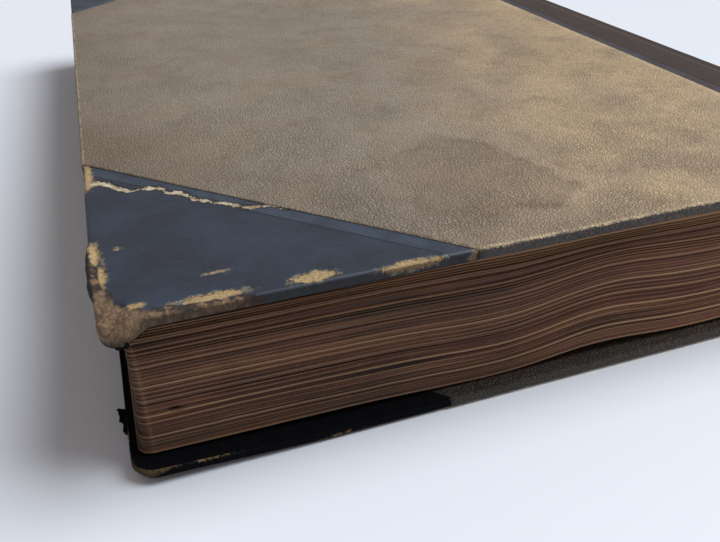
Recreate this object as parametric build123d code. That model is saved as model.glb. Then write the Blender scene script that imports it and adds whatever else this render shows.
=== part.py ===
from build123d import *

import os
from math import asin, cos, degrees, pi, radians, sin

# Antique half-leather book, lying closed on its rear cover. All sizes are in millimetres.
# +X runs from the fore-edge to the spine, +Y from the head to the tail, +Z up through the closed book.
# The origin is under the middle of the book, on the face that it lies on.
# Each cover is a millboard core with a cloth side, two leather corners and a strip of the spine leather,
# all turned in over the edges. The text block is one stack of sewn sections, cockled by age, with
# sawn-in cords, a mull lining, a hollow back and a headband at each end.

# Closed book
book_height = 304.0
book_thickness = 39.0
cover_reach = 187.5
joint_width = 5.5
spine_round = 5.8
band_height = 1.2

# Covers
millboard_thickness = 2.0
cloth_thickness = 0.6
leather_thickness = 0.45
paper_thickness = 0.2
turn_in_width = 14.0
pastedown_margin = 4.5
front_corner_leg = 70.0
rear_corner_leg = 66.0
hinge_strip_width = 14.4
board_edge_gap = 1.5
crease_gap = 0.15
tail_corner_radius = 2.0
front_head_corner_radius = 3.2
rear_head_corner_radius = 4.6

# Wear on the head corners, measured in plan from the corner that the board once had
front_wear_outline = [
    (-2, 27), (1.9, 19), (2.7, 12.6), (4.4, 6.0), (8.6, 2.8), (16.5, 2.4), (24.7, 2.2), (30, -2)
]
front_wear_depth = 1.5
bumped_tip_radius = 4.4
bumped_tip_drop = 1.9
bumped_tip_centre = (3.6, 2.0)
bumped_lip_radius = 1.9
rear_wear_radius = 4.6
rear_wear_depth = 0.9

# Text block
section_count = 16
section_raggedness = 0.25
valley_share = 0.16
valley_depth = 0.25
leaf_gap = 0.1
fore_edge_margin_top = 4.0
fore_edge_margin_bottom = 2.3
fore_edge_hollow = 0.6
head_margin_fore_edge = 4.6
head_margin_spine = 2.6
tail_margin = 3.5
leaf_corner_radius_top = 1.0
leaf_corner_radius_bottom = 3.2
cockle_depth = 2.4
cockle_sag = 0.9
cockle_line = [
    (0, 0.35), (0.19, 0.5), (0.33, 0.75), (0.44, 0.93), (0.55, 0.1),
    (0.63, 0.45), (0.73, 0.7), (0.86, 0.3), (1, 0.9)
]
proud_leaves = [(0.44, 0.02), (0.68, 0.03), (0.84, 0.02), (0.965, 0.035)]
proud_reach = 0.4
shoulder_reach = 1.1
shoulder_clearance = 0.15

# Spine
spine_leather_thickness = 0.8
joint_leather_rise = 0.3
joint_groove_depth = 1.15
shoulder_height = 0.9
hollow_thickness = 0.5
lining_thickness = 0.5
layer_gap = 0.06
cord_count = 5
cord_radius = 1.2
cord_clearance = 0.08
band_width = 4.6
band_end_height = 3.2
headband_radius = 0.8
roll_sides = 10
headcap_thickness = 0.5
headcap_reach = 4.2
spine_end_inset = 0.15

# Places that follow from the sizes above
overall_width = cover_reach + joint_width + spine_round + band_height
fore_x = -overall_width / 2
hinge_x = fore_x + cover_reach
shoulder_x = hinge_x + joint_width
crown_x = shoulder_x + spine_round
head_y = -book_height / 2
tail_y = book_height / 2
middle_z = book_thickness / 2
cover_thickness = cloth_thickness + millboard_thickness
core_fore_x = fore_x + cloth_thickness
core_hinge_x = hinge_x - board_edge_gap
core_head_y = head_y + cloth_thickness
core_tail_y = tail_y - cloth_thickness
hinge_strip_x = hinge_x - hinge_strip_width
leaf_bottom_z = cover_thickness + 2 * paper_thickness + 2 * leaf_gap
leaf_top_z = book_thickness - leaf_bottom_z
outside = 20.0


def prism(points, low, high, rounded=()):
    """A straight-sided solid on a plan polygon. rounded pairs a corner's place with its radius."""
    face = make_face(Polyline(*points, close=True))
    for place, radius in rounded:
        if radius > 0:
            corner = face.vertices().sort_by_distance(Vector(*place, 0))[0]
            face = fillet(corner, radius)
    return Pos(0, 0, low) * extrude(face, high - low)


def board_prism(grow, low, high, head_radius, hinge_side=core_hinge_x):
    """The board's plan, grown by a skin on its three outer edges."""
    x0 = core_fore_x - grow
    y0 = core_head_y - grow
    y1 = core_tail_y + grow
    points = [(x0, y0), (hinge_side, y0), (hinge_side, y1), (x0, y1)]
    skin = grow - cloth_thickness
    rounded = [((x0, y0), head_radius + skin), ((x0, y1), tail_corner_radius + skin)]
    return prism(points, low, high, rounded)


def skin_shell(skin, head_radius):
    """A covering as it lies on the whole board: outer face, three edges and the turn-ins.

    The cover is built with its outer face towards z = 0 and its inner face at cover_thickness."""
    past_hinge = core_hinge_x + outside
    shell = board_prism(skin, cloth_thickness - skin, cover_thickness, head_radius)
    shell -= board_prism(0, cloth_thickness, cover_thickness - skin, head_radius, past_hinge)
    opening_x = core_fore_x + turn_in_width
    y1 = core_tail_y - turn_in_width
    opening = [(opening_x, -y1), (past_hinge, -y1), (past_hinge, y1), (opening_x, y1)]
    return shell - prism(opening, cover_thickness - skin, cover_thickness)


def corner_region(leg, end):
    """The triangle that a leather corner covers. end is -1 at the head and 1 at the tail."""
    near = end * (book_height / 2 + outside)
    far = near - end * (leg + 2 * outside)
    points = [(fore_x - outside, near), (fore_x + leg + outside, near), (fore_x - outside, far)]
    return prism(points, -outside, cover_thickness + outside)


def hinge_region():
    """The strip of the cover that the spine leather reaches over."""
    x1 = hinge_x + outside
    y1 = tail_y + outside
    points = [(hinge_strip_x, -y1), (x1, -y1), (x1, y1), (hinge_strip_x, y1)]
    return prism(points, -outside, cover_thickness + outside)


def front_wear():
    """The edge and corner where the leather has worn through, and the bumped tip that pokes out."""
    corner = Vector(fore_x, head_y)
    curve = [tuple(corner + Vector(*p))[:2] for p in front_wear_outline]
    edge = Spline(*curve)
    far = (fore_x - outside, head_y - outside)
    frame = Polyline(curve[-1], (curve[-1][0], far[1]), far, (far[0], curve[0][1]), curve[0])
    rubbed = extrude(make_face([edge, frame]), front_wear_depth + outside)
    rubbed = Pos(0, 0, -outside) * rubbed
    tip = Pos(fore_x, head_y, cover_thickness / 2) * Cylinder(bumped_tip_radius, 3 * cover_thickness)
    return rubbed + tip


def bumped_lip():
    """The crushed tip of the board, pushed down past the inner face, outside the leaves."""
    x, y = fore_x + bumped_tip_centre[0], head_y + bumped_tip_centre[1]
    root_z = cover_thickness - leather_thickness
    root = Plane((x, y, root_z)) * Circle(bumped_lip_radius)
    end = Plane((x - 0.4, y - 0.1, cover_thickness + bumped_tip_drop)) * Circle(bumped_lip_radius / 2)
    return loft([root, end])


def rear_wear():
    """The rubbed lower edge of the rear cover's head corner."""
    place = Pos(fore_x, head_y, rear_wear_depth - outside / 2)
    return place * Cylinder(rear_wear_radius, outside)


def make_cover(side):
    """The pieces of one cover, in the rear cover's place. The front cover is its mirror image."""
    front = side == "front"
    leg = front_corner_leg if front else rear_corner_leg
    head_radius = front_head_corner_radius if front else rear_head_corner_radius
    leather = skin_shell(leather_thickness, head_radius)
    cloth = skin_shell(cloth_thickness, head_radius)
    head_region, tail_region, strip_region = corner_region(leg, -1), corner_region(leg, 1), hinge_region()

    head_corner = leather & head_region
    tail_corner = leather & tail_region
    skin_inset = cloth_thickness - leather_thickness
    flap_x = hinge_x - crease_gap
    flap_y = tail_y - skin_inset
    flap = [(core_hinge_x, -flap_y), (flap_x, -flap_y), (flap_x, flap_y), (core_hinge_x, flap_y)]
    strip = (leather & strip_region) + prism(flap, skin_inset, cloth_thickness)
    cloth_side = cloth - head_region - tail_region - strip_region

    core = board_prism(0, cloth_thickness, cover_thickness, head_radius)
    core = core - head_corner - tail_corner - cloth_side - strip
    wear = front_wear() if front else rear_wear()
    worn_away = board_prism(leather_thickness, skin_inset, cover_thickness, head_radius) & wear
    core += worn_away
    if front:
        core += bumped_lip()
        head_corner -= bumped_lip()
    head_corner -= wear

    paper_x0 = core_fore_x + pastedown_margin
    paper_y = core_tail_y - pastedown_margin
    paper = [(paper_x0, -paper_y), (core_hinge_x, -paper_y), (core_hinge_x, paper_y), (paper_x0, paper_y)]
    pieces = {
        "board": core,
        "cloth_side": cloth_side,
        "head_corner": head_corner,
        "tail_corner": tail_corner,
        "hinge_leather": strip,
        "pastedown": prism(paper, cover_thickness, cover_thickness + paper_thickness),
    }
    if front:
        pieces = {name: mirror(piece, Plane.XY.offset(middle_z)) for name, piece in pieces.items()}
    return {f"{side}_{name}": piece for name, piece in pieces.items()}


# Spine arcs share one centre, so that each layer lies on the next
shoulder_rise = middle_z - shoulder_height
spine_radius = (shoulder_rise**2 + spine_round**2) / (2 * spine_round)
spine_centre_x = crown_x - spine_radius
hollow_outer = spine_radius - spine_leather_thickness - layer_gap
lining_outer = hollow_outer - hollow_thickness - layer_gap
leaf_radius = lining_outer - lining_thickness - layer_gap
spine_axis = Axis((spine_centre_x, 0, middle_z), (0, 1, 0))


def half_angle(radius, low_z):
    """How far an arc of that radius runs from the crown of the spine before it comes down to low_z."""
    return degrees(asin((middle_z - low_z) / radius))


def spine_sector(outer, inner, low_z, y0, y1):
    """A curved wall about the spine's centre, from low_z to as far below the top."""
    angle = half_angle(outer, low_z)
    plane = Plane((spine_centre_x, y0, middle_z), x_dir=(1, 0, 0), z_dir=(0, 1, 0))
    ring = Circle(outer) - Circle(inner)
    wedge_x = 2 * outer * cos(radians(angle))
    wedge_z = 2 * outer * sin(radians(angle))
    wedge = make_face(Polyline((0, 0), (wedge_x, -wedge_z), (3 * outer, 0), (wedge_x, wedge_z), close=True))
    return extrude(plane * (ring & wedge), y1 - y0)


def spine_roll(path_radius, section, low_z, y):
    """A roll of one cross-section that follows the spine's curve across the book at one height.

    The cross-section's own x runs along the spine and its y out of it."""
    angle = half_angle(path_radius, low_z)
    outwards = Vector(cos(radians(angle)), 0, sin(radians(angle)))
    place = Vector(spine_centre_x, y, middle_z) + outwards * path_radius
    start = Plane(place, x_dir=(0, 1, 0), z_dir=outwards.cross(Vector(0, 1, 0)))
    return revolve(start * section, spine_axis, 2 * angle)


def band_places():
    """Where the cords cross the spine, evenly spaced between the head and the tail."""
    pitch = book_height / (cord_count + 1)
    return [head_y + pitch * (n + 1) for n in range(cord_count)]


def cockle(depth):
    """The line that a leaf takes across the book at a share of the way down the block."""
    swing = cockle_depth * (depth + cockle_sag * sin(pi * depth))
    base = leaf_top_z - depth * (leaf_top_z - leaf_bottom_z - cockle_depth)
    return Spline(*[(fore_x + along * cover_reach, base - swing * fall) for along, fall in cockle_line])


def leaf_slab(upper, lower, drop=0.0, y_reach=outside):
    """Everything between two leaf lines, across the whole book."""
    past = crown_x + outside
    past_spine = [upper @ 1, (past, (upper @ 1).Y), (past, (lower @ 1).Y), lower @ 1]
    face = make_face([upper, lower, Polyline(*past_spine), Line(upper @ 0, lower @ 0)])
    plane = Plane((0, tail_y + y_reach, -drop), x_dir=(1, 0, 0), z_dir=(0, -1, 0))
    return extrude(plane * face, book_height + 2 * y_reach)


def leaf_head(x):
    """Where the leaves' head edge is trimmed. The cut runs slightly out of square."""
    slope = (head_margin_spine - head_margin_fore_edge) / cover_reach
    return head_y + head_margin_fore_edge + slope * (x - fore_x)


def fore_margin(depth):
    """How far the slanted, hollow fore-edge lies inside the covers at a share of the way down."""
    slant = fore_edge_margin_top + depth * (fore_edge_margin_bottom - fore_edge_margin_top)
    return slant + fore_edge_hollow * 4 * depth * (1 - depth)


def leaf_outline(depth, inset, rounded=True):
    """The trimmed plan of the leaves at a share of the way down, as an upright prism."""
    x0 = fore_x + (fore_margin(depth) + inset if rounded else 0)
    x1 = crown_x + outside / 2
    tail = tail_y - tail_margin - inset
    points = [(x0, leaf_head(x0) + inset), (x1, leaf_head(x1) + inset), (x1, tail), (x0, tail)]
    radius = leaf_corner_radius_top + depth * (leaf_corner_radius_bottom - leaf_corner_radius_top)
    return prism(points, 0, book_thickness, [(points[0], radius), (points[3], radius)] if rounded else [])


def leaf_reach():
    """Keeps a leaf or a section's rim short of the shoulders."""
    width = hinge_x - shoulder_reach - 2 * shoulder_clearance - fore_x
    return Pos(fore_x + width / 2, 0, middle_z) * Box(width, book_height, book_thickness)


def inside_fore_edge(inset):
    """Everything on the spine's side of the slanted, hollow fore-edge."""
    edge = []
    for z in (book_thickness, middle_z, 0):
        depth = (leaf_top_z - z) / (leaf_top_z - leaf_bottom_z)
        edge.append((fore_x + fore_margin(depth) + inset, z))
    past = crown_x + outside
    face = make_face([ThreePointArc(*edge), Polyline(edge[2], (past, 0), (past, book_thickness), edge[0])])
    return extrude(Plane((0, tail_y, 0), x_dir=(1, 0, 0), z_dir=(0, -1, 0)) * face, book_height)


def rounded_back():
    """The space inside the rounded back of the leaves."""
    back = Pos(spine_centre_x, 0, middle_z) * Cylinder(leaf_radius, book_height, rotation=(90, 0, 0))
    left = spine_centre_x - fore_x + outside
    return back + Pos(spine_centre_x - left / 2, 0, middle_z) * Box(left, book_height, book_thickness)


def shoulders(inset):
    """The outer sections, knocked over at the back to make the ledges that the boards sit against."""
    low = joint_groove_depth + leather_thickness + shoulder_clearance
    foot = leaf_bottom_z + joint_width / 4
    x0, x1 = hinge_x + shoulder_clearance, crown_x
    outline = [(x0 - shoulder_reach, foot), (x0 + shoulder_reach, low), (x1, low), (x1, foot)]
    head = leaf_head(x0 - shoulder_reach) + inset
    length = tail_y - tail_margin - inset - head
    plane = Plane((0, head, 0), x_dir=(1, 0, 0), z_dir=(0, -1, 0))
    ledge = extrude(plane * make_face(Polyline(*outline, close=True)), -length)
    return ledge, mirror(ledge, Plane.XY.offset(middle_z))


def leaf_core():
    """The solid stack of leaves, as far in as the valleys between the sections."""
    inset = section_raggedness + valley_depth
    core = leaf_slab(cockle(0), cockle(1)) & leaf_outline(0, inset, rounded=False)
    core &= inside_fore_edge(inset)
    x = fore_x + fore_margin(0.5) + inset
    for y in (leaf_head(x) + inset, tail_y - tail_margin - inset):
        corner = core.edges().sort_by_distance(Vector(x, y, middle_z))[0]
        core = fillet(corner, (leaf_corner_radius_top + leaf_corner_radius_bottom) / 2)
    return (core + list(shoulders(inset))) & rounded_back()


def make_text_block():
    """The sewn leaves as one solid: the rims of the sections and a few proud leaves round a core."""
    rims = []
    for n in range(section_count):
        upper, lower = (n + valley_share / 2) / section_count, (n + 1 - valley_share / 2) / section_count
        ragged = section_raggedness * (0.5 + 0.5 * sin(2.4 * n + 0.9 * sin(n)))
        rims.append(leaf_slab(cockle(upper), cockle(lower)) & leaf_outline((upper + lower) / 2, ragged))
    for depth, share in proud_leaves:
        rims.append(leaf_slab(cockle(depth), cockle(depth + share)) & leaf_outline(depth, -proud_reach))
    block = leaf_core() + [rim & leaf_reach() for rim in rims]
    kerf_bottom = leaf_radius - 2 * cord_radius - cord_clearance
    half_kerf = cord_radius + cord_clearance
    past_back = leaf_radius + outside / 2
    for y in band_places():
        block -= spine_sector(past_back, kerf_bottom, -outside / 4, y - half_kerf, y + half_kerf)
    return block


def make_flyleaf(depth):
    """The free endpaper at the top or the bottom of the leaves."""
    line = cockle(depth)
    drop = leaf_gap if depth else -(leaf_gap + paper_thickness)
    slab = leaf_slab(line, Pos(0, -paper_thickness) * line, drop)
    return slab & leaf_outline(depth, 0) & leaf_reach()


def make_spine_leather():
    """The back and the joints of the spine leather, with its headcaps and raised bands."""
    y1 = tail_y - spine_end_inset
    back = spine_sector(spine_radius, spine_radius - spine_leather_thickness, shoulder_height, -y1, y1)
    cap_inner = spine_radius - headcap_reach
    cap_low = cover_thickness + paper_thickness
    for y0 in (-y1, y1 - headcap_thickness):
        back += spine_sector(spine_radius, cap_inner, cap_low, y0, y0 + headcap_thickness)
    joint = joint_flange(y1)
    back = back + joint + mirror(joint, Plane.XY.offset(middle_z))
    sink = spine_leather_thickness / 2
    band = Ellipse(band_width / 2, band_height + sink)
    for y in band_places():
        back += spine_roll(spine_radius - sink, band, band_end_height, y) - inner_spine()
    return back


def inner_spine():
    """What lies inside the spine leather, so that a band only stands out of its face."""
    inner = Cylinder(spine_radius - spine_leather_thickness, book_height, rotation=(90, 0, 0))
    return Pos(spine_centre_x, 0, middle_z) * inner


def joint_flange(y1):
    """The part of the leather that dips between a board and the shoulder."""
    x0 = hinge_x + crease_gap
    x2 = shoulder_x + spine_leather_thickness / 2
    x1 = (x0 + x2) / 2
    low = [joint_leather_rise, joint_groove_depth, shoulder_height + spine_leather_thickness / 4]
    outer = ThreePointArc((x0, low[0]), (x1, low[1]), (x2, low[2]))
    inner = ThreePointArc(*[(x, z + leather_thickness) for x, z in zip((x0, x1, x2), low)])
    face = make_face([outer, inner, Line(outer @ 0, inner @ 0), Line(outer @ 1, inner @ 1)])
    return extrude(Plane((0, -y1, 0), x_dir=(1, 0, 0), z_dir=(0, -1, 0)) * face, -2 * y1)


def make_spine_parts():
    """Lining, hollow back, cords and headbands, from the leaves outwards."""
    inset = section_raggedness + valley_depth
    text_head = leaf_head(crown_x) + inset
    text_tail = tail_y - tail_margin - inset
    low = leaf_bottom_z - paper_thickness
    parts = {
        "mull_lining": spine_sector(lining_outer, leaf_radius + layer_gap, low, text_head, text_tail),
        "hollow_back": spine_sector(hollow_outer, lining_outer + layer_gap, low, text_head, text_tail),
    }
    cord = RegularPolygon(cord_radius, roll_sides)
    for n, y in enumerate(band_places()):
        parts[f"sewing_cord_{n + 1}"] = spine_roll(leaf_radius - cord_radius, cord, leaf_bottom_z, y)
    headband = RegularPolygon(headband_radius, roll_sides)
    seat = headband_radius + layer_gap
    for end, y in (("head", text_head - seat), ("tail", text_tail + seat)):
        parts[f"{end}_headband"] = spine_roll(leaf_radius - headband_radius, headband, leaf_bottom_z, y)
    return parts


def make_book():
    """Every piece of the book by its name."""
    return {
        **make_cover("rear"),
        **make_cover("front"),
        "text_block": make_text_block(),
        "front_flyleaf": make_flyleaf(0),
        "rear_flyleaf": make_flyleaf(1),
        "spine_leather": make_spine_leather(),
        **make_spine_parts(),
    }


os.makedirs("parts", exist_ok=True)
for name, piece in make_book().items():
    export_step(piece, f"parts/{name}.step")
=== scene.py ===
import math

import bmesh
import bpy
import numpy as np
from mathutils import Matrix, Vector


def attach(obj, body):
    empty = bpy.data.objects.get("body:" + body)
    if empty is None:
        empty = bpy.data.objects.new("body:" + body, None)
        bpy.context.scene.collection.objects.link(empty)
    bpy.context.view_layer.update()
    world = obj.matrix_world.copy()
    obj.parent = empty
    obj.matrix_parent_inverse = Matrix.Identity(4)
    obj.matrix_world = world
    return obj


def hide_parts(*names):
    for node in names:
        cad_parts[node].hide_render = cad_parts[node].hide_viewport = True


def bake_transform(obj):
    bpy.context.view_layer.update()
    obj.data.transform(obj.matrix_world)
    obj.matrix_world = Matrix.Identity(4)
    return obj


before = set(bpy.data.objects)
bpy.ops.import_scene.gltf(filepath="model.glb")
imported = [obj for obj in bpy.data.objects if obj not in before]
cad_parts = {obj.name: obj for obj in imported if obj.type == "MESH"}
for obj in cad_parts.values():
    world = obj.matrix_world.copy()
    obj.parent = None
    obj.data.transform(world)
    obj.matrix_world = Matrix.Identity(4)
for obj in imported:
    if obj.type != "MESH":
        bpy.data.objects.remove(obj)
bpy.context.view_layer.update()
print("frame loaded")

# the closed book in mm: x from fore-edge to spine, y from head to tail, z up
book = {
    "foreX": -100.0, "headY": -152.0, "tailY": 152.0, "top": 39.0, "middle": 19.5,
    "hingeX": 87.5, "stripX": 73.1, "spineCentreX": 66.08, "spineRadius": 32.72,
    "coverThickness": 2.6, "leafTop": 35.8, "leafBottom": 3.2, "leafStack": 32.6,
}
# how thick each skin is, in mm
skins = {"cloth": 0.28, "joint": 0.3, "spine": 0.4, "paper": 0.14, "scrap": 0.22}


# ---- numbers over a surface

def smooth(value, low, high):
    t = np.clip((value - low) / (high - low), 0, 1)
    return t * t * (3 - 2 * t)


def wander(x, y, size, seed):
    # smooth random field between -1 and 1 with lumps of one size
    u, v = x / size + seed * 17.3, y / size + seed * 9.1
    i, j = np.floor(u), np.floor(v)
    f, g = smooth(u - i, 0, 1), smooth(v - j, 0, 1)

    def corner(a, b):
        h = np.sin(a * 127.1 + b * 311.7 + seed * 74.7) * 43758.5453
        return 2 * (h - np.floor(h)) - 1

    near = corner(i, j) * (1 - f) + corner(i + 1, j) * f
    far = corner(i, j + 1) * (1 - f) + corner(i + 1, j + 1) * f
    return near * (1 - g) + far * g


def lineDistance(x, y, line):
    # distance to a line of points, and how far along it the nearest place lies
    best, along, run = np.full(np.shape(x), 1e9), np.zeros(np.shape(x)), 0.0
    for (ax, ay), (bx, by) in zip(line, line[1:]):
        dx, dy = bx - ax, by - ay
        length = math.hypot(dx, dy)
        t = np.clip(((x - ax) * dx + (y - ay) * dy) / length ** 2, 0, 1)
        d = np.hypot(x - ax - t * dx, y - ay - t * dy)
        along = np.where(d < best, run + t * length, along)
        best = np.minimum(best, d)
        run += length
    return best, along


def inside(x, y, outline):
    result = np.zeros(np.shape(x), bool)
    for (ax, ay), (bx, by) in zip(outline, outline[1:] + outline[:1]):
        if ay != by:
            crosses = ((ay > y) != (by > y)) & (x < (bx - ax) * (y - ay) / (by - ay) + ax)
            result ^= crosses
    return result


def curveThrough(places, values):
    # natural cubic curve through a few points
    n = len(places)
    step = np.diff(places)
    a, b = np.eye(n), np.zeros(n)
    for i in range(1, n - 1):
        a[i, i - 1:i + 2] = step[i - 1], 2 * (step[i - 1] + step[i]), step[i]
        b[i] = 6 * ((values[i + 1] - values[i]) / step[i] - (values[i] - values[i - 1]) / step[i - 1])
    bend = np.linalg.solve(a, b)

    def value(t):
        i = np.clip(np.searchsorted(places, t) - 1, 0, n - 2)
        h = step[i]
        left, right = places[i + 1] - t, t - places[i]
        return (bend[i] * left ** 3 + bend[i + 1] * right ** 3) / (6 * h) \
            + (values[i] / h - bend[i] * h / 6) * left + (values[i + 1] / h - bend[i + 1] * h / 6) * right

    return value


# ---- meshes

def makeObject(name, points, faces, fields=None):
    # points in mm; fields are numbers or vectors kept on the points for the materials
    mesh = bpy.data.meshes.new(name)
    mesh.from_pydata((points * 0.001).tolist(), [], faces)
    keep = {"place": points, **(fields or {})}
    for key, data in keep.items():
        kind = "FLOAT_VECTOR" if np.ndim(data) == 2 else "FLOAT"
        layer = mesh.attributes.new(key, kind, "POINT")
        slot = "vector" if kind == "FLOAT_VECTOR" else "value"
        layer.data.foreach_set(slot, np.ravel(data).astype(np.float32))
    mesh.update()
    for polygon in mesh.polygons:
        polygon.use_smooth = True
    obj = bpy.data.objects.new(name, mesh)
    bpy.context.scene.collection.objects.link(obj)
    return obj


def gridFaces(rows, columns, flip=False, keep=None):
    faces = []
    for i in range(rows - 1):
        for j in range(columns - 1):
            if keep is None or keep[i, j]:
                a = i * columns + j
                face = (a, a + columns, a + columns + 1, a + 1)
                faces.append(face[::-1] if flip else face)
    return faces


def makeGrid(name, points, fields=None, flip=False, keep=None):
    # one sheet from a grid of points and the numbers that go with them
    flat = {key: np.ravel(values) for key, values in (fields or {}).items()}
    faces = gridFaces(*points.shape[:2], flip=flip, keep=keep)
    return makeObject(name, points.reshape(-1, 3), faces, flat)


def mirrored(rows):
    # rows from the head to the middle, then the same ones on to the tail
    return np.concatenate([rows, -rows[::-1][1:]])


def roundedIn(dx, dy):
    # how far the points of a square corner move in to lie in a round one
    pull = np.maximum(dx, dy) / np.maximum(np.hypot(dx, dy), 1e-9)
    return dx * (1 - pull), dy * (1 - pull)


def cutAway(obj, place, normal):
    # cuts the mesh by a plane and drops the side that the normal points to
    bm = bmesh.new()
    bm.from_mesh(obj.data)
    geometry = bm.verts[:] + bm.edges[:] + bm.faces[:]
    bmesh.ops.bisect_plane(bm, geom=geometry, dist=1e-7, plane_co=Vector(place) * 0.001,
                           plane_no=Vector(normal), clear_outer=True)
    bm.to_mesh(obj.data)
    bm.free()


def join(name, objects):
    bm = bmesh.new()
    for obj in objects:
        bm.from_mesh(obj.data)
    mesh = objects[0].data.copy()
    bm.to_mesh(mesh)
    bm.free()
    for obj in objects:
        bpy.data.objects.remove(obj)
    joined = bpy.data.objects.new(name, mesh)
    bpy.context.scene.collection.objects.link(joined)
    return joined


def thicken(obj, amount):
    modifier = obj.modifiers.new("thickness", "SOLIDIFY")
    modifier.thickness = amount * 0.001
    modifier.offset = -1
    bpy.context.view_layer.update()
    evaluated = obj.evaluated_get(bpy.context.evaluated_depsgraph_get())
    mesh = bpy.data.meshes.new_from_object(evaluated)
    obj.modifiers.clear()
    obj.data = mesh
    return obj


def lines(*stops):
    # places along one direction: pairs of (place, spacing up to it) after a first place
    places = [stops[0]]
    for end, spacing in stops[1:]:
        count = max(1, round(abs(end - places[-1]) / spacing))
        places += list(np.linspace(places[-1], end, count + 1)[1:])
    return np.array(places)


# ---- materials

class Wire:
    # a socket in a node tree; sums with it add the nodes for them
    def __init__(self, nodes, socket):
        self.nodes, self.socket = nodes, socket

    def work(self, operation, *values):
        return self.nodes.node("ShaderNodeMath", {"operation": operation}, dict(enumerate(values)))

    def __add__(self, other): return self.work("ADD", self, other)
    def __radd__(self, other): return self.work("ADD", other, self)
    def __sub__(self, other): return self.work("SUBTRACT", self, other)
    def __rsub__(self, other): return self.work("SUBTRACT", other, self)
    def __mul__(self, other): return self.work("MULTIPLY", self, other)
    def __rmul__(self, other): return self.work("MULTIPLY", other, self)
    def __truediv__(self, other): return self.work("DIVIDE", self, other)
    def __rtruediv__(self, other): return self.work("DIVIDE", other, self)

    def sine(self): return self.work("SINE", self)
    def unsigned(self): return self.work("ABSOLUTE", self)
    def larger(self, other): return self.work("MAXIMUM", self, other)


class NodeTree:
    # the nodes of a material or of the world
    def __init__(self, owner):
        owner.use_nodes = True
        self.tree = owner.node_tree
        self.tree.nodes.clear()

    def node(self, kind, settings=None, inputs=None, output=0):
        node = self.tree.nodes.new(kind)
        for key, value in (settings or {}).items():
            if key == "stops":
                ramp = node.color_ramp
                while len(ramp.elements) < len(value):
                    ramp.elements.new(1.0)
                for element, (position, colour) in zip(ramp.elements, value):
                    element.position, element.color = position, (*colour, 1)
            else:
                setattr(node, key, value)
        for key, value in (inputs or {}).items():
            socket = node.inputs[key]
            if isinstance(value, Wire):
                self.tree.links.new(value.socket, socket)
            elif np.ndim(value) and len(socket.default_value) == 4:
                socket.default_value = (*value, 1)
            else:
                socket.default_value = value
        return Wire(self, node.outputs[output]) if node.outputs else None


class Finish(NodeTree):
    # one material while its nodes are laid out
    def __init__(self, name, place="place"):
        self.material = bpy.data.materials.new(name)
        super().__init__(self.material)
        if place == "place":
            self.place = self.node("ShaderNodeAttribute", {"attribute_name": "place"}, output="Vector")
        else:
            coordinates = self.node("ShaderNodeTexCoord", output="Object")
            self.place = self.node("ShaderNodeVectorMath", {"operation": "SCALE"},
                                   {0: coordinates, "Scale": 1000.0})

    def field(self, name):
        return self.node("ShaderNodeAttribute", {"attribute_name": name}, output="Fac")

    def noise(self, size, detail=3.0, rough=0.55, vector=None, distortion=0.0):
        return self.node("ShaderNodeTexNoise", {}, {
            "Vector": vector or self.place, "Scale": 1 / size, "Detail": detail,
            "Roughness": rough, "Distortion": distortion}, "Fac")

    def cells(self, size, feature="F1", vector=None):
        return self.node("ShaderNodeTexVoronoi", {"feature": feature}, {
            "Vector": vector or self.place, "Scale": 1 / size}, "Distance")

    def step(self, value, low, high, start=0.0, end=1.0):
        return self.node("ShaderNodeMapRange", {"interpolation_type": "SMOOTHSTEP"}, {
            "Value": value, "From Min": low, "From Max": high, "To Min": start, "To Max": end})

    def mix(self, share, first, second):
        return self.node("ShaderNodeMix", {"data_type": "RGBA"}, {0: share, 6: first, 7: second}, 2)

    def ramp(self, value, *stops):
        return self.node("ShaderNodeValToRGB", {"stops": stops}, {"Fac": value})

    def split(self, vector):
        node = self.node("ShaderNodeSeparateXYZ", {}, {0: vector}).socket.node
        return [Wire(self, node.outputs[n]) for n in range(3)]

    def merge(self, x, y, z=0.0):
        return self.node("ShaderNodeCombineXYZ", {}, {0: x, 1: y, 2: z})

    def bump(self, height, distance, strength=1.0):
        return self.node("ShaderNodeBump", {}, {
            "Height": height, "Distance": distance * 0.001, "Strength": strength})

    def surface(self, colour, roughness, normal, **others):
        shader = self.node("ShaderNodeBsdfPrincipled", {}, {
            "Base Color": colour, "Roughness": roughness, "Normal": normal, **others})
        self.node("ShaderNodeOutputMaterial", {}, {"Surface": shader})
        return self.material


def srgb(red, green, blue):
    # a colour as seen, 0 to 255, to the linear one that the shader takes
    return tuple(c / 3294.6 if c <= 10.3 else ((c / 255 + 0.055) / 1.055) ** 2.4 for c in (red, green, blue))


def dress(obj, material):
    obj.data.materials.clear()
    obj.data.materials.append(material)


clothLook = {
    "brown": srgb(157, 139, 117), "grey": srgb(154, 142, 129), "gold": srgb(208, 180, 140),
    "dark": srgb(118, 101, 83), "stain": srgb(132, 113, 92), "grain": 0.8, "grainDepth": 0.34,
    "frontEdge": srgb(42, 36, 34), "rearEdge": srgb(31, 22, 16),
}


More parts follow.
